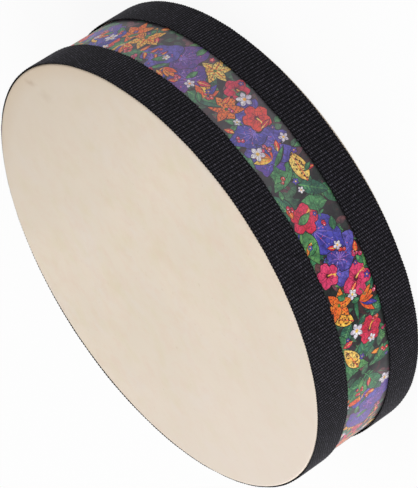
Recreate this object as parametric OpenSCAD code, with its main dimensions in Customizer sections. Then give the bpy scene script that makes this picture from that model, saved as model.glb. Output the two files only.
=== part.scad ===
// Ocean drum: a bent-ply shell with a natural hide on each side, black webbing
// over both hide collars, a printed sleeve between them and steel beads inside.
// The drum lies on its rear head. Its axis is Z, and the origin is the centre
// of the rear head's outer face.

/* [Drum] */
// Diameter over the webbing
drum_d = 250; // [200:1:320]
// Height over both heads
drum_h = 68; // [56:1:90]

/* [Shell] */
// Thickness of the bent plywood shell
shell_t = 5.5; // [5:0.1:8]
// Rounding of the shell's outer edges, where the hides turn over them
edge_round = 0.6; // [0.3:0.1:2.4]
// Depth and width of the glue line along the inside of the shell's lap
lap_groove = 0.3; // [0.1:0.1:0.6]

/* [Printed sleeve] */
// Thickness of the printed film round the shell
sleeve_t = 0.25; // [0.15:0.05:0.35]
// Length by which the sleeve's end laps over its start
sleeve_lap = 12; // [6:1:20]

/* [Heads] */
// Thickness of the hide
hide_t = 0.4; // [0.35:0.05:1]
// Length of the hide's collar down the side of the drum
collar_l = 16; // [12:0.5:18]

/* [Webbing] */
// Width of the webbing
web_w = 19.8; // [18:0.1:22]
// Thickness of the webbing
web_t = 0.6; // [0.5:0.1:1.6]
// Distance of the webbing's outer edge behind the face of the head
web_setback = 0.3; // [0.2:0.1:1.5]
// Gap between the webbing's heat-cut ends
web_gap = 0.5; // [0.3:0.1:1.5]

/* [Staples] */
// Number of staples in each collar
staple_count = 20; // [12:1:28]
// Length of a staple's crown
staple_crown = 8; // [6:0.5:10]
// Thickness of the staple wire
staple_t = 0.3; // [0.2:0.05:0.35]
// Width of the staple wire
staple_w = 0.7; // [0.5:0.1:1.2]
// Length of a staple's legs under the crown
staple_leg = 4.5; // [3:0.1:4.8]
// Distance of the staples from the face of the head
staple_depth = 10; // [6:0.5:11]

/* [Beads] */
// Diameter of a steel bead
bead_d = 3; // [2:0.1:4]
// Number of beads that run along the shell
rim_bead_count = 40; // [24:1:60]
// Mean spacing of the beads in a row
bead_spacing = 7.5; // [6:0.5:12]

/* [Hidden] */

$fn = 96;
bead_fn = 24;

// Fits
glue_t = 0.1;
lap_clear = 0.3;
staple_clear = 0.03;
bead_gap = 0.3;
cut_over = 1;

// Radii, from the outside in
web_r = drum_d / 2;
web_inner_r = web_r - web_t;
collar_r = web_inner_r - glue_t;
sleeve_r = collar_r - hide_t;
shell_r = sleeve_r - sleeve_t;
bore_r = shell_r - shell_t;

// The shell ends where the hides lie on its two edges
shell_h = drum_h - 2 * hide_t;
sleeve_h = shell_h - 2 * edge_round;

// The strips' joints are all on one side
seam_angle = 210;

// The rim beads run along the shell. The rows stay inside the rim beads' track.
rim_track_r = bore_r - bead_d / 2 - bead_gap;
field_r = rim_track_r - bead_d - bead_gap;
bead_z = hide_t + bead_gap + bead_d / 2;
rim_stray_share = 0.6;
rim_seed = 5;

// A row is a strip of loosely scattered beads that rolls along X by itself. Its
// beads fill the middle of its reach, and the rest is its travel to either side.
row_count = 11;
rows_span_share = 0.84;
row_travel_share = 0.4;
row_pitch = 2 * field_r * rows_span_share / (row_count - 1);
row_stray = (row_pitch - bead_d - bead_gap) / 2;

function row_y(row) = (row - (row_count + 1) / 2) * row_pitch;
function row_reach(row) =
    let (y = abs(row_y(row)) + row_stray) sqrt(field_r * field_r - y * y);
function row_travel(row) = row_travel_share * row_reach(row);
function row_half(row) = row_reach(row) - row_travel(row);
function row_beads(row) = max(2, floor(2 * row_half(row) / bead_spacing) + 1);

// A rectangle from the axis to radius r, with its top outer corner rounded
module rounded_half_section(r, h, corner) {
    square([r - corner, h]);
    square([r, h - corner]);
    translate([r - corner, h - corner]) circle(corner);
}

module ring(r_out, r_in, h) {
    difference() {
        cylinder(r = r_out, h = h);
        translate([0, 0, -cut_over]) cylinder(r = r_in, h = h + 2 * cut_over);
    }
}

// Half of the shell, from mid height to the edge that carries a head
module shell_half() {
    rotate_extrude() difference() {
        rounded_half_section(shell_r, shell_h / 2, edge_round);
        translate([-cut_over, -cut_over])
            square([bore_r + cut_over, shell_h / 2 + 2 * cut_over]);
    }
}

module shell() {
    color("burlywood") translate([0, 0, drum_h / 2]) difference() {
        union() {
            shell_half();
            mirror([0, 0, 1]) shell_half();
        }
        // glue line of the strip's lap, inside
        rotate([0, 0, seam_angle])
            translate([bore_r - cut_over, -lap_groove / 2, -drum_h / 2])
                cube([lap_groove + cut_over, lap_groove, drum_h]);
        staples_cut();
        mirror([0, 0, 1]) staples_cut();
    }
}

module printed_sleeve() {
    lap_h = drum_h - 2 * (collar_l + lap_clear);
    color("seagreen") translate([0, 0, drum_h / 2]) difference() {
        union() {
            translate([0, 0, -sleeve_h / 2]) ring(sleeve_r, shell_r, sleeve_h);
            // the strip's end on top of its start, between the collars
            rotate([0, 0, seam_angle]) intersection() {
                translate([0, 0, -lap_h / 2]) ring(sleeve_r + sleeve_t, shell_r, lap_h);
                translate([0, -sleeve_lap / 2, -lap_h / 2])
                    cube([web_r, sleeve_lap, lap_h]);
            }
        }
        staples_cut();
        mirror([0, 0, 1]) staples_cut();
    }
}

// A head with its face at the top, about the drum's mid height
module head() {
    inner_h = collar_l - hide_t;
    translate([0, 0, drum_h / 2 - collar_l]) rotate_extrude() intersection() {
        difference() {
            rounded_half_section(collar_r, collar_l, edge_round + hide_t);
            translate([-cut_over, -cut_over])
                rounded_half_section(sleeve_r + cut_over, inner_h + cut_over, edge_round);
        }
        square([collar_r, collar_l]);
    }
}

module front_head() {
    color("wheat") translate([0, 0, drum_h / 2]) difference() {
        head();
        staples_cut();
    }
}

module rear_head() {
    color("wheat") translate([0, 0, drum_h / 2]) mirror([0, 0, 1]) difference() {
        head();
        staples_cut();
    }
}

module webbing() {
    translate([0, 0, drum_h / 2 - web_setback - web_w]) difference() {
        ring(web_r, web_inner_r, web_w);
        rotate([0, 0, seam_angle])
            translate([0, -web_gap / 2, -cut_over])
                cube([web_r + cut_over, web_gap, web_w + 2 * cut_over]);
    }
}

module front_webbing() {
    color("#222226") translate([0, 0, drum_h / 2]) webbing();
}

module rear_webbing() {
    color("#222226") translate([0, 0, drum_h / 2]) mirror([0, 0, 1]) webbing();
}

// One staple on the X axis, with its crown pressed flush into the hide
module staple(grow) {
    height = staple_w + 2 * grow;
    crown = staple_crown + 2 * grow;
    intersection() {
        translate([0, 0, -height / 2])
            ring(collar_r + grow, collar_r - staple_t - grow, height);
        translate([0, -crown / 2, -height / 2]) cube([web_r, crown, height]);
    }
    for (side = [-1, 1])
        translate([
            collar_r - staple_t - staple_leg - grow,
            side * (staple_crown - staple_t) / 2 - staple_t / 2 - grow,
            -height / 2
        ]) cube([staple_leg + staple_t / 2 + grow, staple_t + 2 * grow, height]);
}

module staple_ring(grow) {
    for (i = [0 : staple_count - 1])
        rotate([0, 0, (i + 0.5) * 360 / staple_count])
            translate([0, 0, drum_h / 2 - staple_depth]) staple(grow);
}

module staples_cut() {
    staple_ring(staple_clear);
}

module front_head_staples() {
    color("silver") translate([0, 0, drum_h / 2]) staple_ring(0);
}

module rear_head_staples() {
    color("silver") translate([0, 0, drum_h / 2]) mirror([0, 0, 1]) staple_ring(0);
}

module bead(x, y) {
    translate([x, y, bead_z]) sphere(d = bead_d, $fn = bead_fn);
}

module rim_beads() {
    step = 360 / rim_bead_count;
    bead_angle = 2 * asin((bead_d + bead_gap) / 2 / rim_track_r);
    stray = rands(-1, 1, rim_bead_count, rim_seed) * rim_stray_share * (step - bead_angle) / 2;
    color("lightsteelblue") for (i = [0 : rim_bead_count - 1])
        let (a = i * step + stray[i]) bead(rim_track_r * cos(a), rim_track_r * sin(a));
}

// A row's two end beads stay at its ends, and the others stray a little along it
module bead_row(row) {
    n = row_beads(row);
    half = row_half(row);
    step = 2 * half / (n - 1);
    slack = max(0, step - bead_d - bead_gap) / 2;
    along = rands(-1, 1, n, row);
    across = rands(-1, 1, n, row + row_count);
    color("lightsteelblue") for (i = [0 : n - 1])
        let (inner = i > 0 && i < n - 1 ? 1 : 0)
            bead(-half + i * step + inner * slack * along[i], row_y(row) + row_stray * across[i]);
}

shell();
printed_sleeve();
front_head();
rear_head();
front_webbing();
rear_webbing();
front_head_staples();
rear_head_staples();
rim_beads();
bead_row(1);  // bead_row_01
bead_row(2);  // bead_row_02
bead_row(3);  // bead_row_03
bead_row(4);  // bead_row_04
bead_row(5);  // bead_row_05
bead_row(6);  // bead_row_06
bead_row(7);  // bead_row_07
bead_row(8);  // bead_row_08
bead_row(9);  // bead_row_09
bead_row(10);  // bead_row_10
bead_row(11);  // bead_row_11
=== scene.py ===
import random
from functools import partial, reduce
from math import atan, cos, exp, hypot, pi, radians, sin

import bmesh
import bpy
from mathutils import Matrix, Quaternion, Vector
from mathutils.geometry import delaunay_2d_cdt


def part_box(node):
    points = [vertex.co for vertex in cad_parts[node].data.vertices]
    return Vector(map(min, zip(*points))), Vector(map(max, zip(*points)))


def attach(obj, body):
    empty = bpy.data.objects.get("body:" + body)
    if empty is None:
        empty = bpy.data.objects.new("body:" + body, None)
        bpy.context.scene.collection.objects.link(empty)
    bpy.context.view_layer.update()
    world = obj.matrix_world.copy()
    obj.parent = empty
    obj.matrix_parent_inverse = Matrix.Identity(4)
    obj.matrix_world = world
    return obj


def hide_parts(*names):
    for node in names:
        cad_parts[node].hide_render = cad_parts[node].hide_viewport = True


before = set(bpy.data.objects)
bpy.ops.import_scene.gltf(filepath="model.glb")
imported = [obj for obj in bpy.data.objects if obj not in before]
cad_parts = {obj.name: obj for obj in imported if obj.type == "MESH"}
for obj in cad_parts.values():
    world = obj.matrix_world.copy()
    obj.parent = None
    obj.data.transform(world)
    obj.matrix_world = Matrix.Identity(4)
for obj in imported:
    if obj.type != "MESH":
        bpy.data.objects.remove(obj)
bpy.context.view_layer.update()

# Sizes are in metres, as the frame's are
MM = 0.001

# The drum, as the frame gives it
HEAD_LO, HEAD_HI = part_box("front_head")
WEB_LO, WEB_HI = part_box("front_webbing")
SLEEVE_LO, SLEEVE_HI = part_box("printed_sleeve")
DRUM_H = HEAD_HI.z
COLLAR_R = HEAD_HI.x
COLLAR_L = HEAD_HI.z - HEAD_LO.z
WEB_R = WEB_HI.x
SLEEVE_R = SLEEVE_HI.x
SLEEVE_H = SLEEVE_HI.z - SLEEVE_LO.z
SEAM_ANGLE = radians(210)

# Camera, from the photograph's perspective
CAMERA_AIM = Vector((1.37, 0.27, 30.8)) * MM
CAMERA_DISTANCE = 1.4873
CAMERA_AZIMUTH = radians(28.52)
CAMERA_ELEVATION = radians(25.68)
CAMERA_ROLL = radians(123.24)
CAMERA_LENS = 212.5
CAMERA_SENSOR = 36
CAMERA_CLIP = (0.01, 100)


class Graph:
    """Short calls for the nodes of one tree."""

    def __init__(self, tree):
        self.tree = tree

    def node(self, kind, *values, **given):
        """Makes a node. The values go to its inputs in order, and a name with a capital to
        the input that it names, with _ for a space. Other names are settings."""
        made = self.tree.nodes.new(kind)
        for name, value in given.items():
            if name[0].isupper():
                self.feed(made.inputs[name.replace("_", " ")], value)
            else:
                setattr(made, name, value)
        for socket, value in zip(made.inputs, values):
            self.feed(socket, value)
        return made

    def feed(self, socket, value):
        if isinstance(value, bpy.types.NodeSocket):
            self.tree.links.new(value, socket)
        else:
            socket.default_value = value

    def math(self, operation, *values):
        return self.node("ShaderNodeMath", *values, operation=operation).outputs[0]

    def add(self, *values):
        return reduce(partial(self.math, "ADD"), values)

    def times(self, *values):
        return reduce(partial(self.math, "MULTIPLY"), values)

    def minus(self, value, taken):
        return self.math("SUBTRACT", value, taken)

    def hump(self, angle):
        """1 at an angle of 0 and 0 half a turn away, along a cosine."""
        return self.add(0.5, self.times(0.5, self.math("COSINE", angle)))

    def vector(self, x, y, z=0.0):
        return self.node("ShaderNodeCombineXYZ", x, y, z).outputs[0]

    def split(self, vector):
        return self.node("ShaderNodeSeparateXYZ", vector).outputs

    def seen(self):
        """1 where the camera sees the surface, directly, in metal or through glass."""
        path = self.node("ShaderNodeLightPath")
        rays = self.math("MAXIMUM", path.outputs["Is Camera Ray"], path.outputs["Is Glossy Ray"])
        return self.math("MAXIMUM", rays, path.outputs["Is Transmission Ray"])


class Shader(Graph):
    """A material's tree, with the textures that this drum's finishes use."""

    def __init__(self, name):
        self.material = bpy.data.materials.new(name)
        self.material.use_nodes = True
        super().__init__(self.material.node_tree)
        self.surface = self.tree.nodes["Principled BSDF"]
        self.output = self.tree.nodes["Material Output"]

    def set(self, **values):
        for name, value in values.items():
            self.feed(self.surface.inputs[name.replace("_", " ")], value)

    def attribute(self, name, output):
        return self.node("ShaderNodeAttribute", attribute_name=name).outputs[output]

    def place(self, scale=(1, 1, 1), attribute=None, turn=0.0):
        """Object coordinates, or a stored attribute, stretched by scale."""
        if attribute:
            source = self.attribute(attribute, "Vector")
        else:
            source = self.node("ShaderNodeTexCoord").outputs["Object"]
        mapping = self.node("ShaderNodeMapping", Vector=source, Scale=scale,
                            Rotation=(0, 0, turn))
        return mapping.outputs["Vector"]

    def noise(self, place, scale, detail=4.0, rough=0.5, warp=0.0):
        made = self.node("ShaderNodeTexNoise", Vector=place, Scale=scale, Detail=detail,
                         Roughness=rough, Distortion=warp)
        return made.outputs["Fac"]

    def veins(self, place, scale):
        """The distance to the nearest line of a net of uneven cells."""
        bent = self.node("ShaderNodeTexNoise", Vector=place, Scale=scale * 1.4)
        shifted = self.node("ShaderNodeVectorMath", bent.outputs["Color"],
                            (1 / scale, 1 / scale, 0), place, operation="MULTIPLY_ADD")
        made = self.node("ShaderNodeTexVoronoi", feature="DISTANCE_TO_EDGE",
                         voronoi_dimensions="2D", Vector=shifted.outputs[0], Scale=scale)
        return made.outputs["Distance"]

    def range(self, value, low, high, to_low=0.0, to_high=1.0):
        made = self.node("ShaderNodeMapRange", value, low, high, to_low, to_high, clamp=True)
        return made.outputs["Result"]

    def mix(self, factor, a, b, blend="MIX"):
        made = self.node("ShaderNodeMix", data_type="RGBA", blend_type=blend)
        for socket, value in zip((made.inputs[0], made.inputs[6], made.inputs[7]), (factor, a, b)):
            self.feed(socket, value)
        return made.outputs[2]

    def bump(self, height, depth, strength=1.0, below=None):
        made = self.node("ShaderNodeBump", Height=height, Distance=depth, Strength=strength)
        if below:
            self.feed(made.inputs["Normal"], below)
        return made.outputs["Normal"]


def ink(code, alpha=1.0):
    """A linear colour from six hex digits."""
    shares = [int(code[i:i + 2], 16) / 255 for i in (0, 2, 4)]
    linear = [s / 12.92 if s <= 0.04045 else ((s + 0.055) / 1.055) ** 2.4 for s in shares]
    return (*linear, alpha)


def new_object(name, mesh):
    made = bpy.data.objects.new(name, mesh)
    bpy.context.scene.collection.objects.link(made)
    return made


def object_from_bmesh(name, shape, material, smooth=True):
    mesh = bpy.data.meshes.new(name)
    shape.to_mesh(mesh)
    shape.free()
    mesh.materials.append(material)
    mesh.polygons.foreach_set("use_smooth", [smooth] * len(mesh.polygons))
    return new_object(name, mesh)


# Materials

# Painted shade and light: the hide is painted darker towards one side and a little lighter and
# cooler towards the other, as if lit from that side
PAINTED_SHADE_TURN = radians(115)
# Marks in the front hide: place and size in mm, turn and strength
HIDE_MARKS = (((-50, 107), (7, 2.6), 0.4, 0.26), ((-40, 101), (9, 5), 0.4, 0.1))
# How fast a mark fades with depth, per metre, which keeps the marks off the rear hide
MARK_FADE = 60


def hide_finish():
    """Cream hide, faintly mottled, with a warmer edge where it is drawn over the rim, and painted
    shade and light across it.
    """
    s = Shader("natural_hide")
    place = s.place()
    broad = s.noise(place, 16, 3, 0.5, 0.3)
    base = s.mix(s.range(broad, 0.38, 0.62), ink("DFD2C0"), ink("E3D5C3"))
    cool = s.noise(s.place(turn=0.6), 34, 5, 0.6, 0.3)
    base = s.mix(s.range(cool, 0.5, 0.68, 0, 0.5), base, ink("E0D5CB"))
    pink = s.noise(place, 95, 5, 0.65, 0.2)
    base = s.mix(s.range(pink, 0.46, 0.7, 0, 0.55), base, ink("DFC9B6"))
    yellow = s.noise(s.place(turn=1.1), 60, 5, 0.6)
    base = s.mix(s.range(yellow, 0.5, 0.72, 0, 0.5), base, ink("DACEB0"))
    specks = s.noise(place, 320, 2, 0.5)
    base = s.mix(s.range(specks, 0.7, 0.78, 0, 0.2), base, ink("B79A78"))
    x, y = s.split(place)[:2]
    # Painted shade on the side away from the light, painted light on the side towards it
    across = s.add(s.times(x, cos(PAINTED_SHADE_TURN)), s.times(y, sin(PAINTED_SHADE_TURN)))
    base = s.mix(s.range(across, 0.04, 0.11, 0, 0.75), base, ink("D2C5B4"))
    base = s.mix(s.range(across, -0.02, -0.11, 0, 0.6), base, ink("E2D5C9"))
    reach = s.math("SQRT", s.add(s.times(x, x), s.times(y, y)))
    edge = s.times(s.range(reach, 0.113, 0.1235), s.range(across, 0.075, 0.12, 0, 0.3))
    base = s.mix(edge, base, ink("BFA27E"))
    for at, size, turn, strength in HIDE_MARKS:
        scale = (1 / (size[0] * MM), 1 / (size[1] * MM), MARK_FADE)
        centre = Vector((at[0] * MM * scale[0], at[1] * MM * scale[1], DRUM_H * MARK_FADE))
        away = s.node("ShaderNodeVectorMath", s.place(scale, turn=turn),
                      Matrix.Rotation(turn, 3, "Z") @ centre, operation="DISTANCE")
        mark = s.add(away.outputs["Value"], s.times(s.noise(place, 420, 3, 0.6), 1.2))
        base = s.mix(s.range(mark, 0.7, 1.5, strength, 0), base, ink("94724E"))
    pores = s.noise(place, 1400, 3, 0.6)
    grain = s.noise(place, 330, 4, 0.6)
    s.set(Base_Color=base, Roughness=0.7, Specular_IOR_Level=0.25,
          Normal=s.bump(pores, 0.05 * MM, 0.5, s.bump(grain, 0.2 * MM, 0.5)))
    return s.material


def webbing_finish():
    """Matt black yarn, with painted shade between the ribs and painted sheen and highlights on
    their tops. The weave's height is stored on the mesh.
    """
    s = Shader("black_webbing")
    lift = s.attribute("lift", "Fac")
    along = s.place(attribute="tape")
    fibres = s.noise(s.place((400, 3000, 1), "tape"), 1, 3, 0.6)
    # Painted sheen and highlights: the rib tops are painted lighter in patches and flecked with
    # bright glints
    sheen_patches = s.noise(along, 60, 3, 0.5)
    glint_flecks = s.noise(along, 760, 2, 0.5)
    sheened_tops = s.mix(s.range(sheen_patches, 0.3, 0.7), ink("222127"), ink("302E36"))
    sheened_tops = s.mix(s.range(glint_flecks, 0.5, 0.68, 0, 0.6), sheened_tops, ink("6C6876"))
    # Painted shade: the grooves between the ribs are painted near black, by the weave's height
    base = s.mix(s.range(lift, 0.1, 0.7), ink("070708"), sheened_tops)
    base = s.mix(s.range(fibres, 0.45, 0.8, 0, 0.4), base, ink("3C3A41"))
    s.set(Base_Color=base, Roughness=0.6, Normal=s.bump(fibres, 0.06 * MM, 0.7),
          Specular_IOR_Level=s.range(lift, 0.1, 0.9, 0.02, 0.25))
    return s.material


# Painted reflection: a pale haze for the gloss film's reflection comes and goes along the band,
# and its borders drift
PAINTED_HAZE_LENGTH = 0.25
PAINTED_HAZE_DRIFT = 0.1
CLEAR_AT = 0.335


def film_finish():
    """Printed film: two inks per motif, mixed like a wash, under a clear gloss, with a pale
    painted reflection along the band.
    """
    s = Shader("printed_film")
    inked = s.node("ShaderNodeAttribute", attribute_name="ink_a")
    first, ground = inked.outputs["Color"], inked.outputs["Alpha"]
    second = s.attribute("ink_b", "Color")
    place = s.place(attribute="band")
    wash = s.noise(place, 170, 6, 0.66, 0.8)
    base = s.mix(s.range(wash, 0.44, 0.56), first, second)
    stain = s.noise(s.place(attribute="band", turn=1.3), 130, 4, 0.6, 0.6)
    base = s.mix(s.times(ground, s.range(stain, 0.56, 0.66, 0, 0.7)), base, ink("54292E"))
    sketch = s.veins(s.place(attribute="band", turn=0.4), 360)
    base = s.mix(s.range(sketch, 0.02, 0.1, 0.5, 0), base, ink("1A161C"))
    tone = s.noise(s.place(attribute="band", turn=0.7), 620, 5, 0.7)
    base = s.mix(s.range(tone, 0.35, 0.62, 0, 0.45), base, ink("9A9298"), "OVERLAY")
    base = s.mix(s.range(tone, 0.38, 0.5, 0.35, 0), base, ink("2A2630"), "MULTIPLY")
    # Painted reflection: a pale haze mixed over the print, strongest where the gloss would catch
    # the light
    drift = s.times(s.noise(place, 30, 2, 0.5), PAINTED_HAZE_DRIFT)
    along = s.add(s.split(place)["X"], drift, -CLEAR_AT - PAINTED_HAZE_DRIFT / 2)
    painted_haze = s.math("COSINE", s.times(along, 2 * pi / PAINTED_HAZE_LENGTH))
    base = s.mix(s.range(painted_haze, 0.9, -0.6, 0, 0.22), base, ink("A8A0A8"))
    s.set(Base_Color=base, Roughness=0.5, Specular_IOR_Level=0.12,
          Coat_Weight=0.15, Coat_Roughness=0.25,
          Sheen_Weight=0.12, Sheen_Roughness=0.35, Sheen_Tint=ink("B4A8BC"))
    return s.material


def ply_finish():
    """Bent plywood: long grain round the hoop."""
    s = Shader("bent_ply")
    rings = s.noise(s.place((1, 1, 14)), 60, 5, 0.6, 1.2)
    fine = s.noise(s.place((1, 1, 40)), 300, 3, 0.6)
    base = s.mix(s.range(rings, 0.3, 0.7), ink("D9B98A"), ink("B98E5B"))
    base = s.mix(s.range(fine, 0.5, 0.8, 0, 0.3), base, ink("8F6A40"))
    s.set(Base_Color=base, Roughness=s.range(fine, 0.3, 0.8, 0.5, 0.7),
          Normal=s.bump(fine, 0.1 * MM, 0.4))
    return s.material


def steel_finish(name, tint, scratches, roughness):
    s = Shader(name)
    marks = s.noise(s.place(), scratches, 4, 0.6)
    s.set(Metallic=1.0, Roughness=s.range(marks, 0.3, 0.7, roughness, roughness * 1.6),
          Base_Color=s.mix(s.range(marks, 0.3, 0.7), ink(tint), ink("A9ABAE")))
    return s.material


FLOOR_GREY = 0.86
# How much of the floor is plain white to the camera. The rest is lit, and keeps the shadow
FLOOR_GLOW = 0.9


def floor_finish():
    """A pale floor that reads white and still shows the shadow."""
    s = Shader("pale_floor")
    s.tree.nodes.remove(s.surface)
    paint = s.node("ShaderNodeBsdfDiffuse", Color=(FLOOR_GREY, FLOOR_GREY, FLOOR_GREY, 1))
    glow = s.node("ShaderNodeEmission", Color=(1, 1, 1, 1), Strength=1.0)
    shown = s.node("ShaderNodeMixShader", s.times(s.seen(), FLOOR_GLOW), paint.outputs[0],
                   glow.outputs[0])
    s.feed(s.output.inputs["Surface"], shown.outputs[0])
    return s.material


# The stage

def place_camera():
    lens = bpy.data.cameras.new("camera")
    lens.lens = CAMERA_LENS
    lens.sensor_width = CAMERA_SENSOR
    lens.clip_start, lens.clip_end = CAMERA_CLIP
    camera = new_object("camera", lens)
    back = Vector((cos(CAMERA_AZIMUTH) * cos(CAMERA_ELEVATION),
                   sin(CAMERA_AZIMUTH) * cos(CAMERA_ELEVATION),
                   sin(CAMERA_ELEVATION)))
    level = back.to_track_quat("Z", "Y")
    camera.rotation_mode = "QUATERNION"
    camera.rotation_quaternion = level @ Quaternion((0, 0, 1), -CAMERA_ROLL)
    camera.location = CAMERA_AIM + back * CAMERA_DISTANCE
    bpy.context.scene.camera = camera


def place_lamp(name, at, size, power):
    light = bpy.data.lights.new(name, "AREA")
    light.size = size
    light.energy = power
    lamp = new_object(name, light)
    lamp.location = at
    lamp.rotation_mode = "QUATERNION"
    lamp.rotation_quaternion = Vector(at).to_track_quat("Z", "Y")


FLOOR_REACH = 20
# The floor lies just under the rear head, so that their faces don't coincide
FLOOR_DROP = 0.1 * MM
WORLD_LIGHT = 0.62
# Name, place, size in metres and power in watts
LAMPS = (("low_soft_box", (1.0, -1.15, 1.25), 0.9, 12),
         ("edge_soft_box", (-0.5, -2.1, 0.5), 0.7, 20),
         ("front_soft_box", (2.0, 0.9, 1.8), 1.4, 14))


def make_stage():
    shape = bmesh.new()
    bmesh.ops.create_grid(shape, x_segments=1, y_segments=1, size=FLOOR_REACH,
                          matrix=Matrix.Translation((0, 0, -FLOOR_DROP)))
    floor = object_from_bmesh("floor", shape, floor_finish(), False)
    world = bpy.data.worlds.new("studio")
    world.use_nodes = True
    bpy.context.scene.world = world
    sky = world.node_tree.nodes["Background"]
    sky.inputs["Color"].default_value = (1, 1, 1, 1)
    tree = Graph(world.node_tree)
    tree.feed(sky.inputs["Strength"], tree.math("MAXIMUM", tree.seen(), WORLD_LIGHT))
    for name, at, size, power in LAMPS:
        place_lamp(name, at, size, power)
    bpy.context.scene.view_settings.view_transform = "Standard"


# The heads

def lathe(shape, outline, segments):
    """Turns a closed outline of (radius, height), whose ends lie on the axis, about Z."""
    angles = [2 * pi * i / segments for i in range(segments)]
    rings = [[shape.verts.new((radius * cos(a), radius * sin(a), height))
              for a in (angles if radius else [0])] for radius, height in outline]
    for low, high in zip(rings, rings[1:]):
        for i in range(segments):
            j = (i + 1) % segments
            corners = [low[i % len(low)], low[j % len(low)],
                       high[j % len(high)], high[i % len(high)]]
            shape.faces.new(list(dict.fromkeys(corners)))
    bmesh.ops.recalc_face_normals(shape, faces=shape.faces)


HIDE_T = 0.4 * MM
RIM_ROUND = 1.0 * MM
HEAD_SEGMENTS = 288
ROUND_STEPS = 6
INNER_ROUND_STEPS = 3
# The head's rings, as shares of its flat radius and of its collar
FACE_RINGS = (0.1, 0.25, 0.4, 0.55, 0.7, 0.82, 0.91, 0.96, 0.99)
INNER_FACE_RINGS = (0.8, 0.5, 0.2)
COLLAR_RINGS = (0.3, 0.6, 1)
INNER_COLLAR_RINGS = (1, 0.5)


def head_outline():
    """From the axis over the face, round the rim, down the collar and back inside."""
    flat_r = COLLAR_R - RIM_ROUND
    inner_r = COLLAR_R - HIDE_T
    inner_round = RIM_ROUND - HIDE_T
    round_z = DRUM_H - RIM_ROUND
    outline = [(0, DRUM_H)]
    outline += [(flat_r * share, DRUM_H) for share in FACE_RINGS]
    for i in range(ROUND_STEPS + 1):
        a = pi / 2 * i / ROUND_STEPS
        outline.append((flat_r + RIM_ROUND * sin(a), round_z + RIM_ROUND * cos(a)))
    outline += [(COLLAR_R, DRUM_H - COLLAR_L * share) for share in COLLAR_RINGS]
    outline += [(inner_r, DRUM_H - COLLAR_L * share) for share in INNER_COLLAR_RINGS]
    for i in range(INNER_ROUND_STEPS + 1):
        a = pi / 2 * (1 - i / INNER_ROUND_STEPS)
        outline.append((inner_r - inner_round + inner_round * sin(a),
                        round_z + inner_round * cos(a)))
    outline += [(flat_r * share, DRUM_H - HIDE_T) for share in INNER_FACE_RINGS]
    outline.append((0, DRUM_H - HIDE_T))
    return outline


def flip_over(shape):
    """Turns a piece made for the front over to the rear, about the X axis."""
    turn = Matrix.Translation((0, 0, DRUM_H)) @ Matrix.Rotation(pi, 4, "X")
    bmesh.ops.transform(shape, matrix=turn, verts=shape.verts)


def make_head(name, node, rear, material):
    shape = bmesh.new()
    lathe(shape, head_outline(), HEAD_SEGMENTS)
    if rear:
        flip_over(shape)
    head = object_from_bmesh(name, shape, material)
    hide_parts(node)
    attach(head, "drum")


# The webbing

WEB_T = 0.6 * MM
RIB_PITCH = 1.775 * MM
STEPS_PER_RIB = 4
COLUMN_COUNT = 34
# Points of a tape that are this near each other are joined
JOIN_DISTANCE = 0.01 * MM
# How far a tape stays short of its full width, at the edge by the print and at the other
FRONT_TRIMS = (0.25 * MM, 0.0)
REAR_TRIMS = (0.2 * MM, 0.4 * MM)
# Where the front tape's outer edge waves in, and where the tape is slackest
WAVE_ANGLE = radians(38)
SLACK_ANGLE = radians(119)
WAVES_PER_TURN = 3.0
# The sizes that both tapes share
TAPE_SIZES = {
    "End gap": 0.2 * MM, "Weave depth": 0.35 * MM, "Edge loop": 0.35 * MM,
    "Edge wander": 0.4 * MM, "Swell": 0.4 * MM, "Edge wave": 0.4 * MM,
    "Edge kinks": 0.7 * MM, "Slack": 0.35 * MM,
}
TAPE_INPUTS = [(name, "Float") for name in (
    "Radius", "Thickness", "Width", "Base height", "Start angle", "Wave angle", "Slack angle",
    "Seed", *TAPE_SIZES)]
TAPE_INPUTS += [("Rib count", "Int"), ("Column count", "Int"), ("Material", "Material")]
# A rib's height where the warp dips under, as a share of its full height
DIPPED_RIB = 0.1
# How narrow the looped edges are, and how much lower their ribs are
EDGE_POWER = 24.0
EDGE_FLATTENING = 0.7
# Scale and shift of the slow noises: broad swell, fine swell, edge wander, edge kinks
WANDERS = ((2.2, 0.0), (7.0, 3.0), (8.0, 9.0), (11.0, 15.0))


def tape_sockets(tree):
    """Gives the tree its inputs and its output. Returns the inputs' identifiers."""
    inputs = {}
    for name, kind in TAPE_INPUTS:
        socket = tree.interface.new_socket(name=name, in_out="INPUT",
                                           socket_type="NodeSocket" + kind)
        if name in TAPE_SIZES:
            socket.default_value = TAPE_SIZES[name]
        inputs[name] = socket.identifier
    tree.interface.new_socket(name="Geometry", in_out="OUTPUT", socket_type="NodeSocketGeometry")
    return inputs


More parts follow.
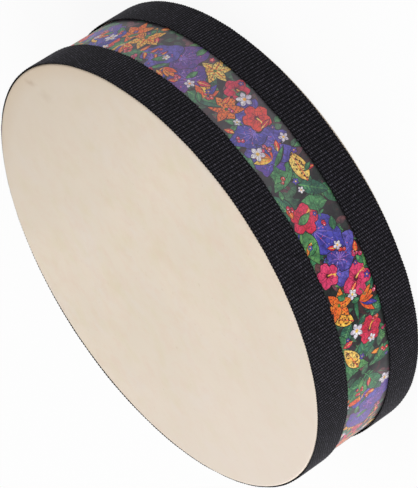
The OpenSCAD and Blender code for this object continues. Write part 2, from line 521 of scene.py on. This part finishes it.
def weave_tree():
    """A woven tape wound round the drum: ribs across its width, with the warp
    floating over every other rib, and a looped edge on both sides."""
    tree = bpy.data.node_groups.new("woven_tape", "GeometryNodeTree")
    inputs = tape_sockets(tree)
    g = Graph(tree)
    given = g.node("NodeGroupInput").outputs
    outer_rows = g.add(given["Column count"], 1)
    grid = g.node("GeometryNodeMeshGrid", Size_X=1.0, Size_Y=1.0,
                  Vertices_X=g.add(g.times(given["Rib count"], STEPS_PER_RIB), 1),
                  Vertices_Y=g.add(outer_rows, 3))
    spot = g.split(g.node("GeometryNodeInputPosition").outputs[0])
    u = g.add(spot["X"], 0.5)
    row = g.math("ROUND", g.times(g.add(spot["Y"], 0.5), g.add(outer_rows, 2)))
    # rows past the outer face run back along the tape's inner side
    before_turn = g.math("LESS_THAN", row, g.add(outer_rows, 0.5))
    across = g.math("DIVIDE", row, g.minus(outer_rows, 1))
    t = g.times(g.math("MINIMUM", across, 1.0), before_turn)
    outside = g.minus(1.0, g.math("COMPARE", row, g.add(outer_rows, 0.5), 1.0))
    # the weave
    rib_at = g.times(u, given["Rib count"])
    rib = g.hump(g.times(rib_at, 2 * pi))
    over = g.hump(g.times(g.add(rib_at, g.math("MODULO", row, 2.0)), pi))
    side = g.minus(g.times(t, 2.0), 1.0)
    edge = g.math("POWER", g.math("ABSOLUTE", side), EDGE_POWER)
    lift = g.times(rib, g.add(DIPPED_RIB, g.times(1 - DIPPED_RIB, over)),
                   g.minus(1.0, g.times(edge, EDGE_FLATTENING)))
    # round the drum
    gap = g.math("DIVIDE", given["End gap"], given["Radius"])
    angle = g.add(given["Start angle"], g.times(gap, 0.5), g.times(u, g.minus(2 * pi, gap)))
    cosine, sine = g.math("COSINE", angle), g.math("SINE", angle)
    circle = g.vector(cosine, sine)
    broad, fine, drift, kink = [wandering(g, circle, scale, given["Seed"], shift)
                                for scale, shift in WANDERS]
    swell = g.times(given["Swell"], g.add(g.times(broad, 0.6), g.times(fine, 0.4)))
    slack = g.times(given["Slack"], g.hump(g.times(g.minus(angle, given["Slack angle"]), 2.0)))
    drop = g.times(given["Weave depth"], g.minus(lift, 1.0))
    radius = g.add(given["Radius"], g.times(outside, g.add(given["Thickness"], drop)),
                   swell, slack)
    # along the axis
    loops = g.times(g.math("SIGN", side), edge, given["Edge loop"], g.minus(rib, 0.5))
    kinks = g.times(given["Edge kinks"], kink, g.minus(1.0, t))
    turned = g.times(g.minus(angle, given["Wave angle"]), WAVES_PER_TURN)
    wave = g.times(given["Edge wave"], g.math("COSINE", turned), t)
    height = g.minus(g.add(given["Base height"], g.times(t, given["Width"]), loops, kinks,
                           g.times(given["Edge wander"], drift)), wave)
    place = g.vector(g.times(radius, cosine), g.times(radius, sine), height)
    flat = g.vector(g.times(angle, given["Radius"]), g.times(t, given["Width"]))
    shape = finished_tape(g, grid.outputs["Mesh"], place, flat, g.times(lift, outside),
                          given["Material"])
    g.feed(g.node("NodeGroupOutput").inputs["Geometry"], shape)
    return tree, inputs


def finished_tape(g, shape, place, flat, lift, material):
    """Stores what the webbing's finish reads, puts the points in place and joins them."""
    for name, kind, value in (("tape", "FLOAT_VECTOR", flat), ("lift", "FLOAT", lift)):
        shape = g.node("GeometryNodeStoreNamedAttribute", shape, data_type=kind,
                       domain="POINT", Name=name, Value=value).outputs[0]
    for kind, feeds in (("GeometryNodeSetPosition", {"Position": place}),
                        ("GeometryNodeMergeByDistance", {"Distance": JOIN_DISTANCE}),
                        ("GeometryNodeSetShadeSmooth", {"Shade Smooth": True}),
                        ("GeometryNodeRealizeInstances", {}),
                        ("GeometryNodeSetMaterial", {"Material": material})):
        shape = g.node(kind, shape, **feeds).outputs[0]
    return shape


def wandering(g, place, scale, seed, shift):
    """Slow noise from -1 to 1 along the tape."""
    made = g.node("ShaderNodeTexNoise", noise_dimensions="4D", Vector=place,
                  W=g.add(seed, shift), Scale=scale, Detail=3.0)
    return g.times(g.minus(made.outputs["Fac"], 0.5), 2.0)


def baked(name, weave, values):
    """Runs a node tree once and keeps its result as a plain mesh."""
    tree, inputs = weave
    source = new_object(name + "_source", bpy.data.meshes.new(name + "_source"))
    modifier = source.modifiers.new("nodes", "NODES")
    modifier.node_group = tree
    for key, value in values.items():
        modifier[inputs[key]] = value
    graph = bpy.context.evaluated_depsgraph_get()
    mesh = bpy.data.meshes.new_from_object(source.evaluated_get(graph))
    bpy.data.objects.remove(source)
    mesh.name = name
    return mesh


def make_webbing(name, node, rear, seed, trims, weave, material):
    hand = -1 if rear else 1
    inner_r = WEB_R - WEB_T
    base = WEB_LO.z + trims[0]
    mesh = baked(name, weave, {
        **TAPE_SIZES, "Radius": inner_r, "Thickness": WEB_R - inner_r,
        "Width": WEB_HI.z - trims[1] - base, "Base height": base, "Start angle": SEAM_ANGLE,
        "Wave angle": hand * WAVE_ANGLE, "Slack angle": hand * SLACK_ANGLE, "Seed": seed,
        "Rib count": round(2 * pi * WEB_R / RIB_PITCH), "Column count": COLUMN_COUNT,
        "Material": material})
    shape = bmesh.new()
    shape.from_mesh(mesh)
    bmesh.ops.holes_fill(shape, edges=[e for e in shape.edges if e.is_boundary], sides=0)
    bmesh.ops.recalc_face_normals(shape, faces=shape.faces)
    if rear:
        flip_over(shape)
    shape.to_mesh(mesh)
    shape.free()
    tape = new_object(name, mesh)
    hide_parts(node)
    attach(tape, "drum")


# The print

# In mm: the side of a cell of the print's index, the bare border at the band's ends,
# and the least width of a shape that is kept
PRINT_CELL = 3
PRINT_MARGIN = 0.3
LEAST_SHAPE = 0.05
# Shortest and longest stretch of one kind of motif, in mm
STRETCH_LENGTHS = (24, 44)

# Two inks to a motif: the wash of the film's finish runs from one to the other
GROUND_INKS = ("18161A", "262F2A")
DIM_INKS = (("3E6E50", "2E4A3E"), ("55805E", "3C6049"), ("74484A", "4A363C"), ("5E4A50", "3A3440"),
            ("3A5A48", "2C3834"), ("2E2A31", "3A343C"), ("86505A", "553842"), ("4A7658", "34503F"))
LEAF_INKS = (("459060", "2E6A48"), ("58A064", "39784C"), ("6CAA62", "4C8250"),
             ("3C8060", "285848"))
VEIN_INKS = ("7CC074", "4C8A58")
VIOLET_INKS = (("5549AE", "6B42A4"), ("5352BE", "413E9A"), ("7A469F", "57409A"),
               ("6A62C4", "4E449C"))
RED_INKS = (("EA3E4E", "F0603E"), ("E8365E", "D42A46"), ("F2553C", "E23A44"))
PINK_INKS = (("EE4C7C", "D63A6A"), ("F06A86", "E0446C"))
ORANGE_INKS = (("F46E2A", "F8983A"), ("F28432", "EE5A2C"))
YELLOW_INKS = (("FFD95E", "FBB545"), ("FFE27C", "FAC350"))
BROWN_INKS = ("6E3C22", "4A2A20")
WHITE_INKS = ("F6F2F4", "DCD2E2")
RIM_INKS = ("1B171D", "161C1A")
THROAT_INKS = ("6A1430", "4A1028")
STREAK_INKS = ("A81E3C", "8E1A34")
HEART_INKS = ("6E8A34", "4E6A2C")
VIOLET_VEIN_INKS = ("8C78D2", "A070C4")
FLECK_INKS = ("B49AE0", "C4A0D8")
DIM_VEIN_INKS = ("56845E", "33604A")


def leaf_line(length, width, bend=0.0, fullness=0.85, steps=6):
    """A pointed leaf from the origin along X, bent sideways, as one closed line."""
    near, far = [], []
    for i in range(1, steps):
        t = i / steps
        half = width / 2 * sin(pi * t ** fullness) ** 0.9
        middle = bend * length * t * t
        near.append((length * t, middle - half))
        far.append((length * t, middle + half))
    return [(0, 0)] + near + [(length, bend * length)] + far[::-1]


def round_line(radius, count, lobes=0, depth=0.0, turn=0.0):
    """A closed line round the origin, with lobes."""
    line = []
    for i in range(count):
        a = 2 * pi * i / count
        r = radius * (1 + depth * cos(lobes * a + turn))
        line.append((r * cos(a), r * sin(a)))
    return line


def stroke_line(path, width, end_width=0.0):
    """A stroke along a path, tapered to its end."""
    left, right = [], []
    last = len(path) - 1
    for i, (x, y) in enumerate(path):
        before, after = path[max(i - 1, 0)], path[min(i + 1, last)]
        dx, dy = after[0] - before[0], after[1] - before[1]
        size = hypot(dx, dy) or 1.0
        half = (width + (end_width - width) * i / last) / 2
        if i == last and half == 0:
            left.append((x, y))
        else:
            left.append((x + dy / size * half, y - dx / size * half))
            right.append((x - dy / size * half, y + dx / size * half))
    return left + right[::-1]


class Print:
    """A generic print of leaves and flowers, laid out flat in mm: x along the band
    and y across it. Each shape lies over the ones before it."""

    def __init__(self, length, half_height, seed):
        self.length = length
        self.half_height = half_height
        self.dice = random.Random(seed)
        self.shapes = []
        self.at(0.0, 0.0, 0.0)

    def at(self, x, y, turn):
        """Where the next shapes are laid."""
        self.spot = (x, y, turn)

    def lay(self, line, inks, x=0.0, y=0.0, turn=0.0):
        """Lays a closed line at the spot, itself moved and turned within it."""
        spot_x, spot_y, spot_turn = self.spot
        cos_in, sin_in = cos(turn), sin(turn)
        cos_out, sin_out = cos(spot_turn), sin(spot_turn)
        west, east = PRINT_MARGIN, self.length - PRINT_MARGIN
        low, high = -self.half_height, self.half_height
        placed = []
        for px, py in line:
            qx = x + px * cos_in - py * sin_in
            qy = y + px * sin_in + py * cos_in
            sx = spot_x + qx * cos_out - qy * sin_out
            sy = spot_y + qx * sin_out + qy * cos_out
            placed.append((min(max(sx, west), east), min(max(sy, low), high)))
        spans = [max(along) - min(along) for along in zip(*placed)]
        if min(spans) > LEAST_SHAPE:
            self.shapes.append((placed, inks))

    def between(self, low, high):
        return self.dice.uniform(low, high)

    def one_of(self, choices):
        return self.dice.choice(choices)

    def leaf(self, lengths, widths, choices, vein_inks, veins, rim=0.35):
        """A leaf with a dark rim, a midrib and side veins."""
        length, width = self.between(*lengths), self.between(*widths)
        inks, bend = self.one_of(choices), self.between(-0.2, 0.2)
        if rim:
            self.lay(leaf_line(length + 2 * rim, width + 2 * rim, bend), RIM_INKS, -rim)
        self.lay(leaf_line(length, width, bend), inks)
        rib = [(length * t, bend * length * t * t) for t in (0.0, 0.3, 0.6, 0.9)]
        self.lay(stroke_line(rib, 0.5, 0.15), vein_inks)
        for i in range(veins):
            t = 0.18 + 0.6 * i / max(veins - 1, 1)
            for side in (-1, 1):
                start = (length * t, bend * length * t * t)
                reach = width * 0.36 * sin(pi * (t + 0.12) ** 0.85)
                tip = (start[0] + reach * 0.9, start[1] + side * reach)
                self.lay(stroke_line([start, tip], 0.38), vein_inks)

    def fern(self):
        """A frond: a bent stem with paired leaflets."""
        length, inks = self.between(7, 13), self.one_of(LEAF_INKS)
        bend = self.between(-0.35, 0.35)
        pairs = max(5, round(length / 2))
        stem = [(length * t, bend * length * t * t) for t in (0, 0.25, 0.5, 0.75, 1)]
        for i in range(pairs):
            t = 0.1 + 0.85 * i / pairs
            reach = length * 0.36 * sin(pi * (0.15 + 0.8 * t) ** 0.9)
            lean = atan(2 * bend * t)
            for side in (-1, 1):
                self.lay(leaf_line(reach, 1.25, 0.12 * side, steps=3), inks, length * t,
                         bend * length * t * t, lean + side * (1.05 - 0.35 * t))
        self.lay(stroke_line(stem, 0.55, 0.1), inks[::-1])

    def hibiscus(self):
        """Five ruffled petals, streaked from a dark throat, and a long stamen."""
        radius, inks = self.between(6, 9), self.one_of(RED_INKS + PINK_INKS[:1])
        first = self.between(0, 2 * pi)
        petals = [first + 2 * pi * i / 5 for i in range(5)]
        for grow, colour in ((0.4, RIM_INKS), (0, inks)):
            for turn in petals:
                petal = round_line(radius * 0.5 + grow, 14, 5, 0.07, turn)
                self.lay([(x + radius * 0.52, y * 0.86) for x, y in petal], colour, turn=turn)
        for turn in petals:
            for lean in (-0.35, 0, 0.35):
                path = [(radius * 0.1, 0), (radius * 0.62, radius * 0.3 * lean)]
                self.lay(stroke_line(path, 0.42), STREAK_INKS, turn=turn + lean * 0.7)
        self.lay(round_line(radius * 0.17, 8), THROAT_INKS)
        stamen = [(0, 0), (radius * 0.35, radius * 0.08), (radius * 0.75, 0)]
        self.lay(stroke_line(stamen, 0.7, 0.45), YELLOW_INKS[1], turn=first + 0.6)
        for i in range(5):
            out, turn = radius * (0.55 + 0.06 * i), first + 0.6 + 0.12 * (-1) ** i
            self.lay(round_line(0.34, 4), YELLOW_INKS[0], out * cos(turn),
                     out * sin(turn), first + 0.6)

    def lily(self):
        """Six pointed petals with dark freckles."""
        radius, inks = self.between(7.5, 10.5), self.one_of(YELLOW_INKS + ORANGE_INKS[:1])
        first = self.between(0, 2 * pi)
        for ring in (1, 0):
            for i in range(3):
                turn = first + 2 * pi * (i / 3 + ring / 6)
                bend = self.between(-0.15, 0.15)
                self.lay(leaf_line(radius + 0.6, radius * 0.52 + 0.7, bend, 0.75), RIM_INKS,
                         turn=turn)
                self.lay(leaf_line(radius, radius * 0.52, bend, 0.75), inks, turn=turn)
                self.lay(leaf_line(radius * 0.8, radius * 0.1, bend, 0.6), ORANGE_INKS[1],
                         turn=turn)
                for k in range(9):
                    t = 0.22 + 0.07 * k
                    off = radius * 0.17 * sin(pi * t ** 0.75) * (-1, 0.1, 1)[k % 3]
                    off += bend * radius * t * t
                    self.lay(round_line(self.between(0.28, 0.5), 4), BROWN_INKS,
                             radius * t * cos(turn) - off * sin(turn),
                             radius * t * sin(turn) + off * cos(turn))
        self.lay(round_line(radius * 0.12, 7), HEART_INKS)

    def croton(self):
        """A broad yellow leaf, blotched dark."""
        length, inks = self.between(12, 18), self.one_of(YELLOW_INKS)
        width = length * 0.46
        self.lay(leaf_line(length + 0.9, width + 0.8, 0.1, 0.8, 8), RIM_INKS, x=-0.45)
        self.lay(leaf_line(length, width, 0.1, 0.8, 8), inks)
        rib = [(0, 0), (length * 0.5, 0.025 * length), (length * 0.95, 0.09 * length)]
        self.lay(stroke_line(rib, 0.6, 0.2), RED_INKS[0])
        for i in range(int(length * 2.2)):
            t = self.between(0.08, 0.86)
            half = width / 2 * sin(pi * t ** 0.8) - 0.7
            off = self.between(-1, 1) * max(half, 0)
            self.lay(round_line(self.between(0.35, 0.6), 5, 2, 0.25, self.between(0, 6)),
                     BROWN_INKS, length * t, 0.1 * length * t * t + off, self.between(0, 3))

    def caladium(self):
        """A big violet heart-shaped leaf with wavy sides and paler veins."""
        radius, inks = self.between(9, 14), self.one_of(VIOLET_INKS)
        line, rim = [], []
        waves = [(self.between(5, 11), self.between(0, 6), self.between(0.02, 0.05))
                 for i in range(3)]
        for i in range(36):
            a = 2 * pi * i / 36
            notch = exp(-((a - pi) / 0.34) ** 2)
            tip = exp(-(min(a, 2 * pi - a) / 0.4) ** 2)
            wavy = sum(depth * cos(round(count) * a + start) for count, start, depth in waves)
            r = radius * (0.86 + 0.34 * tip - 0.55 * notch + wavy)
            line.append((r * cos(a), r * sin(a) * 0.88))
            rim.append(((r + 0.4) * cos(a), (r + 0.4) * sin(a) * 0.88))
        self.lay(rim, RIM_INKS)
        self.lay(line, inks)
        for i in range(9):
            a = -2.4 + 0.6 * i
            reach = radius * (1.0 if i == 4 else 0.66)
            path = [(-radius * 0.25, 0),
                    (reach * 0.5 * cos(a) - 0.1 * radius, reach * 0.5 * sin(a) * 0.84),
                    (reach * cos(a), reach * sin(a) * 0.8)]
            self.lay(stroke_line(path, 0.6, 0.15), VIOLET_VEIN_INKS)
        for i in range(round(radius * 1.6)):
            a, r = self.between(0, 6.3), radius * self.between(0.2, 0.7)
            self.lay(round_line(self.between(0.22, 0.46), 4),
                     self.one_of((PINK_INKS[1], FLECK_INKS)),
                     r * cos(a), r * sin(a) * 0.85)

    def crane_flower(self):
        """Orange spikes and a violet one over a green beak."""
        radius = self.between(9, 12)
        self.lay(leaf_line(radius * 1.25, radius * 0.3, 0.12), RIM_INKS,
                 -radius * 0.35, -0.3, -0.75)
        self.lay(leaf_line(radius * 1.15, radius * 0.22, 0.12), self.one_of(LEAF_INKS),
                 -radius * 0.33, -0.2, -0.75)
        for i, turn in enumerate((-0.5, -0.15, 0.2, 0.55, 0.9)):
            inks = VIOLET_INKS[1] if i == 1 else self.one_of(ORANGE_INKS + YELLOW_INKS[:1])
            reach = radius * self.between(0.8, 1.1)
            rib = [(reach * 0.1, 0), (reach * 0.8, 0.06 * reach)]
            for line, colour in (
                    (leaf_line(reach + 0.7, radius * 0.3 + 0.6, 0.1, 0.9, 6), RIM_INKS),
                    (leaf_line(reach, radius * 0.3, 0.1, 0.9, 6), inks),
                    (stroke_line(rib, 0.35, 0.1), RED_INKS[2])):
                self.lay(line, colour, turn=turn + 0.6)

    def heliconia(self):
        """Red boat-shaped bracts, left and right of a zigzag stem."""
        length, inks = self.between(12, 16), self.one_of(RED_INKS)
        count = 5
        stem = [(length * i / count, 0.35 * (-1) ** i) for i in range(count + 1)]
        self.lay(stroke_line(stem, 1.0, 0.5), LEAF_INKS[1])
        for i in range(count):
            side = (-1) ** i
            size = length * (0.42 - 0.05 * i)
            for grow, colour in ((0.35, RIM_INKS), (0, inks)):
                self.lay(leaf_line(size + 2 * grow, size * 0.36 + 2 * grow, 0.25 * side, 0.7, 5),
                         colour, length * i / count, 0.3 * side, side * 0.85)
            self.lay(leaf_line(size * 0.8, size * 0.1, 0.25 * side, 0.7, 4), YELLOW_INKS[0],
                     length * i / count + 0.3, 0.3 * side, side * 0.92)

    def berries(self):
        """A bunch of round berries with highlights."""
        count, inks = self.dice.randint(2, 6), self.one_of(RED_INKS + PINK_INKS)
        for i in range(count):
            a, r = self.between(0, 6.3), self.between(0, 1) ** 0.5 * 0.75 * count ** 0.5
            size = self.between(0.75, 1.15)
            x, y = r * cos(a) * 1.3, r * sin(a) * 1.3
            self.lay(round_line(size + 0.28, 8), RIM_INKS, x, y)
            self.lay(round_line(size, 8), inks, x, y)
            self.lay(round_line(size * 0.32, 4), WHITE_INKS, x + size * 0.3, y + size * 0.35)

    def blossom(self, radius, inks):
        """A small flower of five round petals."""
        first = self.between(0, 2 * pi)
        for grow, colour in ((0.3, RIM_INKS), (0, inks)):
            for i in range(5):
                turn = first + 2 * pi * i / 5
                self.lay(leaf_line(radius + grow, radius * 0.62 + grow, 0.0, 1.3, 5), colour,
                         turn=turn)
        self.lay(round_line(radius * 0.24, 7), YELLOW_INKS[0])

    def tendril(self):
        """A thin stem that curls up at its end."""
        length, inks = self.between(5, 8), self.one_of(LEAF_INKS + YELLOW_INKS)
        path = [(length * 0.6 * t, length * 0.12 * sin(3 * t)) for t in (0, 0.33, 0.66, 1)]
        x, y = path[-1]
        hand = self.one_of((-1, 1))
        for i in range(1, 8):
            a = 0.7 * i
            r = length * 0.13 * (1 - i / 9)
            path.append((x + r * sin(a) * 1.3, y + hand * (length * 0.12 - r * cos(a))))
        self.lay(stroke_line(path, 0.5, 0.25), inks)

    def strew(self, step, spread, draw, start=0.0, end=None):
        """Spreads motifs along a stretch of the band, one to each equal step of it."""
        end = self.length if end is None else end
        count = max(round((end - start) / step), 1)
        for i in range(count):
            x = start + (end - start) * (i + self.between(0.1, 0.9)) / count
            self.at(x, self.between(-spread, spread), self.between(-pi, pi))
            draw()

    def sides(self, kinds, step, reach, start, end):
        """Rows large motifs along both sides of a stretch, in a shuffled order."""
        count = max(round((end - start) / step), 1)
        last = None
        for i in range(count):
            last = self.one_of([k for k in kinds if k != last or len(kinds) == 1])
            x = start + (end - start) * (i + self.between(0.2, 0.8)) / count
            self.at(x, reach * (-1) ** i * self.between(0.3, 1.0), self.between(-pi, pi))
            last()

    def index(self):
        """Sorts the shapes into square cells, so that a spot's top shape is found fast."""
        self.cells = {}
        for line, inks in self.shapes:
            xs, ys = zip(*line)
            box = (min(xs), max(xs), min(ys), max(ys))
            for i in range(int(box[0] // PRINT_CELL), int(box[1] // PRINT_CELL) + 1):
                for j in range(int(box[2] // PRINT_CELL), int(box[3] // PRINT_CELL) + 1):
                    self.cells.setdefault((i, j), []).insert(0, (box, line, inks))

    def top_inks(self, x, y):
        """The inks of the last shape laid over a spot."""
        cell = (x // PRINT_CELL, y // PRINT_CELL)
        for (west, east, south, north), line, inks in self.cells.get(cell, ()):
            if west < x < east and south < y < north:
                covered = False
                x0, y0 = line[-1]
                for x1, y1 in line:
                    if (y0 > y) != (y1 > y) and x < (x1 - x0) * (y - y0) / (y1 - y0) + x0:
                        covered = not covered
                    x0, y0 = x1, y1
                if covered:
                    return inks
        return GROUND_INKS

    def big_leaf(self):
        self.leaf((12, 20), (6.5, 9), LEAF_INKS, VEIN_INKS, 6)

    def small_leaf(self):
        self.leaf((4, 9), (2.2, 4), LEAF_INKS, VEIN_INKS, 2)

    def red_leaf(self):
        self.leaf((4, 7.5), (2, 3.4), RED_INKS + ORANGE_INKS, YELLOW_INKS[1], 2)

    def dim_veined_leaf(self):
        self.leaf((6, 11), (3, 4.8), DIM_INKS[:3], DIM_VEIN_INKS, 2, 0)

    def violet_stretch(self, start, end):
        self.sides([self.caladium], 10, 5, start, end)
        self.sides([self.hibiscus, self.crane_flower], 24, 10, start, end)

    def flower_stretch(self, start, end):
        self.sides([self.hibiscus, self.lily, self.crane_flower, self.croton,
                    self.heliconia], 6, 9, start, end)

    def leaf_stretch(self, start, end):
        self.strew(4.5, 14, self.big_leaf, start, end)
        self.strew(12, 13, self.fern, start, end)
        self.sides([self.hibiscus, self.croton, self.heliconia], 20, 11, start, end)

    def dim_leaf(self):
        size = self.between(4, 10), self.between(2.2, 5)
        self.lay(leaf_line(*size, self.between(-0.3, 0.3), steps=5), self.one_of(DIM_INKS))

    def bright_blossom(self):
        size = self.between(1.1, 1.9)
        self.blossom(size, self.one_of(PINK_INKS + VIOLET_INKS + ORANGE_INKS))

    def compose(self):
        """Foliage all over, then stretches of one kind each, then small motifs all over."""
        self.strew(1.5, 15.5, self.dim_leaf)
        self.strew(6, 15, self.dim_veined_leaf)
        self.strew(10, 15, self.fern)
        self.strew(16, 14, self.big_leaf)
        stretches = (self.violet_stretch, self.flower_stretch, self.leaf_stretch)
        start, last = 0.0, None
        while start < self.length:
            end = start + self.between(*STRETCH_LENGTHS)
            last = self.one_of([kind for kind in stretches if kind != last])
            last(start, min(end, self.length))
            start = end
        self.strew(13, 14.5, self.red_leaf)
        self.strew(11, 14.5, self.small_leaf)
        self.strew(14, 14, self.berries)
        self.strew(60, 12, lambda: self.blossom(self.between(3.2, 4.6), WHITE_INKS))
        self.strew(28, 14, lambda: self.blossom(self.between(1.8, 3.0), WHITE_INKS))
        self.strew(16, 14, self.bright_blossom)
        self.strew(24, 14, self.tendril)


# The printed sleeve

FILM_T = 0.25 * MM
FILM_LAP = 12 * MM
ROUND_LENGTH = 2 * pi * SLEEVE_R
# The band's end rises over its start within the ramp
LAP_RISE = FILM_T + 0.02 * MM
LAP_RAMP = 1.5 * MM
# Spacing of the points on the print's border and of the spots between the shapes, with
# the rows of spots on either side of the middle one
FILM_STEP = 4 * MM
FILM_SPOT = 6 * MM
FILM_SPOT_ROWS = 3
# Half heights of the border and of the inked part, which both end under the webbing
PRINT_HALF = 16 * MM
INKED_HALF = 15.6 * MM
PRINT_SEED = 515
# In mm: how near points are joined, and how near the border they count as on it
JOIN_NEARNESS = 1e-4
BORDER_NEARNESS = 1e-3
BACK_INKS = ("D8D4CC", "CFCAC0")


def seen_shapes(design):
    """Triangulates the band flat, in mm, and finds the inks on top in each triangle.
    The second pass keeps only the lines between different inks."""
    half = PRINT_HALF / MM
    steps = round(design.length / (FILM_STEP / MM))
    border = [(design.length * i / steps, -half) for i in range(steps + 1)]
    border += [(design.length * i / steps, half) for i in range(steps, -1, -1)]
    points = list(border)
    lines = [(i, (i + 1) % len(border)) for i in range(len(border))]
    for line, inks in design.shapes:
        first = len(points)
        points += line
        lines += [(first + i, first + (i + 1) % len(line)) for i in range(len(line))]
    flat, triangles, tops = inked(design, points, lines)
    sides = {}
    for triangle, top in zip(triangles, tops):
        for a, b in zip(triangle, triangle[1:] + triangle[:1]):
            sides.setdefault((min(a, b), max(a, b)), []).append(top)
    lines = [edge for edge, pair in sides.items() if len(pair) == 1 or pair[0] != pair[1]]
    used = sorted({v for edge in lines for v in edge})
    renamed = {v: i for i, v in enumerate(used)}
    kept = [flat[v] for v in used]
    for i in range(1, int(design.length / (FILM_SPOT / MM))):
        kept += [(i * FILM_SPOT / MM, j * FILM_SPOT / MM)
                 for j in range(-FILM_SPOT_ROWS, FILM_SPOT_ROWS + 1)]
    return inked(design, kept, [(renamed[a], renamed[b]) for a, b in lines])


def inked(design, points, lines):
    """Triangulates points and lines, with the inks on top in each triangle."""
    flat, _, triangles = delaunay_2d_cdt([Vector(p) for p in points], lines, [], 0,
                                         JOIN_NEARNESS, False)[:3]
    tops = []
    for triangle in triangles:
        middle = sum((flat[v] for v in triangle), Vector((0, 0))) / 3
        tops.append(design.top_inks(middle.x, middle.y))
    return flat, triangles, tops


def film_solid(points, triangles, tops):
    """Closes the printed face to a thin solid with edges, a back and two ends. Gives each
    point's place along, across and into the band, the faces and the inks of each face."""
    half = PRINT_HALF / MM
    places = [(p.x * MM, p.y * MM, 0.0) for p in points]
    order = sorted(range(len(points)), key=lambda i: points[i].x)
    low = [i for i in order if points[i].y < -half + BORDER_NEARNESS]
    high = [i for i in order if points[i].y > half - BORDER_NEARNESS]
    faces, inks = [list(t) for t in triangles], list(tops)

    def row(source, y, depth):
        start = len(places)
        places.extend((places[i][0], y, depth) for i in source)
        return list(range(start, start + len(source)))

    edge = SLEEVE_H / 2
    rows = [low, row(low, -edge, 0.0), row(low, -edge, FILM_T), row(high, edge, FILM_T),
            row(high, edge, 0.0), high]
    row_inks = [GROUND_INKS, BACK_INKS, BACK_INKS, BACK_INKS, GROUND_INKS]
    for near, far, colours in zip(rows, rows[1:], row_inks):
        for i in range(len(near) - 1):
            faces.append([near[i], far[i], far[i + 1], near[i + 1]])
            inks.append(colours)
    faces.append([line[0] for line in rows][::-1])
    faces.append([line[-1] for line in rows])
    inks += [BACK_INKS, BACK_INKS]
    return places, faces, inks


def wound(x, y, depth):
    """Where a spot of the flat band lies round the drum."""
    radius = SLEEVE_R - depth + LAP_RISE * min(max((x - ROUND_LENGTH) / LAP_RAMP + 1, 0), 1)
    angle = SEAM_ANGLE + (x - FILM_LAP / 2) / SLEEVE_R
    return radius * cos(angle), radius * sin(angle), DRUM_H / 2 + y


def store_inks(mesh, faces, inks):
    """Both inks of each face as corner colours, with an alpha of 1 on the bare ground."""
    for k, name in enumerate(("ink_a", "ink_b")):
        known = {pair: ink(pair[k], float(pair == GROUND_INKS)) for pair in set(inks)}
        colours = [c for face, pair in zip(faces, inks) for c in known[pair] * len(face)]
        stored = mesh.color_attributes.new(name, "BYTE_COLOR", "CORNER")
        stored.data.foreach_set("color", colours)


def shade_round(mesh):
    """Normals straight out from the axis on the film's faces, and flat on its edges."""
    normals = []
    for polygon in mesh.polygons:
        for v in polygon.vertices:
            x, y, z = mesh.vertices[v].co
            out = Vector((x, y, 0)).normalized()
            facing = out.dot(polygon.normal)
            normals.append(out * round(facing) if abs(facing) > 0.9 else polygon.normal)
    mesh.normals_split_custom_set(normals)


def make_sleeve(material):
    """The film round the shell, printed on its outer side, with its end lapped over
    its start."""
    design = Print((ROUND_LENGTH + FILM_LAP) / MM, INKED_HALF / MM, PRINT_SEED)
    design.compose()
    design.index()
    places, faces, inks = film_solid(*seen_shapes(design))
    mesh = bpy.data.meshes.new("printed_film")
    mesh.from_pydata([wound(*place) for place in places], [], faces)
    mesh.materials.append(material)
    mesh.polygons.foreach_set("use_smooth", [True] * len(faces))
    store_inks(mesh, faces, inks)
    band = mesh.attributes.new("band", "FLOAT_VECTOR", "POINT")
    band.data.foreach_set("vector", [c for place in places for c in place])
    shade_round(mesh)
    film = new_object("printed_film", mesh)
    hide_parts("printed_sleeve")
    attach(film, "drum")


# The CAD nodes that stay

def dress_nodes():
    finishes = {"shell": ply_finish(),
                "staples": steel_finish("galvanised_wire", "8D9094", 900, 0.4),
                "bead": steel_finish("polished_bead", "C8CACD", 400, 0.12)}
    for name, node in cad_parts.items():
        for kind, finish in finishes.items():
            if kind in name:
                for place in node.material_slots:
                    place.material = finish


make_stage()
place_camera()
hide = hide_finish()
make_head("front_hide", "front_head", False, hide)
make_head("rear_hide", "rear_head", True, hide)
weave = weave_tree()
yarn = webbing_finish()
make_webbing("front_tape", "front_webbing", False, 1.0, FRONT_TRIMS, weave, yarn)
make_webbing("rear_tape", "rear_webbing", True, 6.0, REAR_TRIMS, weave, yarn)
make_sleeve(film_finish())
dress_nodes()
